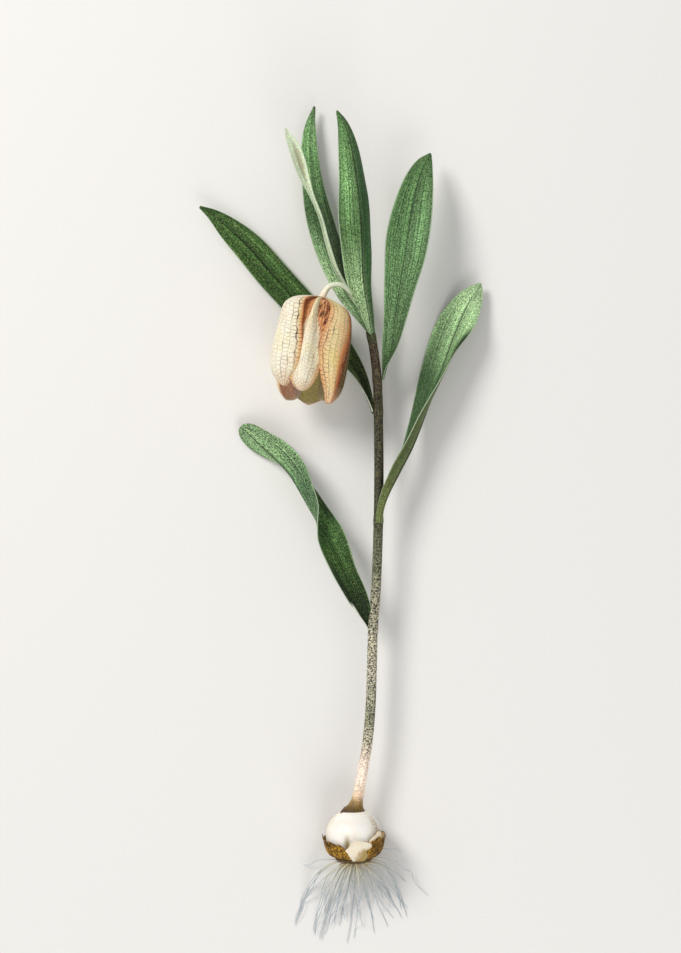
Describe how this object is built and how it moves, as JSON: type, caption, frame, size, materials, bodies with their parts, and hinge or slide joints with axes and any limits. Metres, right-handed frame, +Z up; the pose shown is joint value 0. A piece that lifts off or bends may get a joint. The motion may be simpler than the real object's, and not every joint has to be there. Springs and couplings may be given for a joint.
{
  "type": "bare-root fritillaria plant",
  "caption": "Lifted fritillaria laid on its side: bulb with torn coat and fine roots, slender stem, folded strap leaves and a nodding chequered bell flower on a curved stalk.",
  "frame": {"origin": "the flat spot under the bulb on which the lying plant rests", "axes": "+X to the plant's right as seen from above, +Y from the bulb along the stem to the leaf tips, +Z up from the surface it lies on"},
  "size_m": [0.1071, 0.3175, 0.0377],
  "materials": {
    "bulb_scale": "smooth fleshy ivory white, soft sheen",
    "tunic": "dry brown wrinkled coat with paler torn edges",
    "torn_flap": "torn white inner coat, yellowish at its lower edge",
    "root": "pale bluish white, fine and slightly translucent",
    "stem": "grey brown with dark speckle, pinkish white towards the bulb",
    "stalk": "pale green, smooth",
    "leaf_green": "grey green with fine parallel veins, satin",
    "leaf_pale": "light green underside with fine parallel veins, satin",
    "tepal_outer": "cream with a chequered net of red brown lines, silky",
    "tepal_inner": "cream and pink with dark red brown flanks, silky",
    "stamen": "pale yellow anthers on green white filaments",
    "pistil": "pale green, smooth"
  },
  "bodies": {
    "root": {"bulb_scale_front": "bulb_scale", "bulb_scale_rear": "bulb_scale", "tunic_left": "tunic", "tunic_right": "tunic", "tunic_back": "tunic", "bulb_flap": "torn_flap", "roots": "root", "stem": "stem", "pedicel": "stalk", "leaf_low_left": "leaf_green", "leaf_mid_right": "leaf_green", "leaf_mid_left": "leaf_green", "leaf_top_right": "leaf_green", "leaf_top_front": "leaf_pale", "leaf_top_back": "leaf_green", "leaf_top_slim": "leaf_pale", "tepal_outer_1": "tepal_outer", "tepal_outer_2": "tepal_outer", "tepal_outer_3": "tepal_outer", "tepal_inner_1": "tepal_inner", "tepal_inner_2": "tepal_inner", "tepal_inner_3": "tepal_inner", "stamens": "stamen", "pistil": "pistil"}
  },
  "joints": []
}
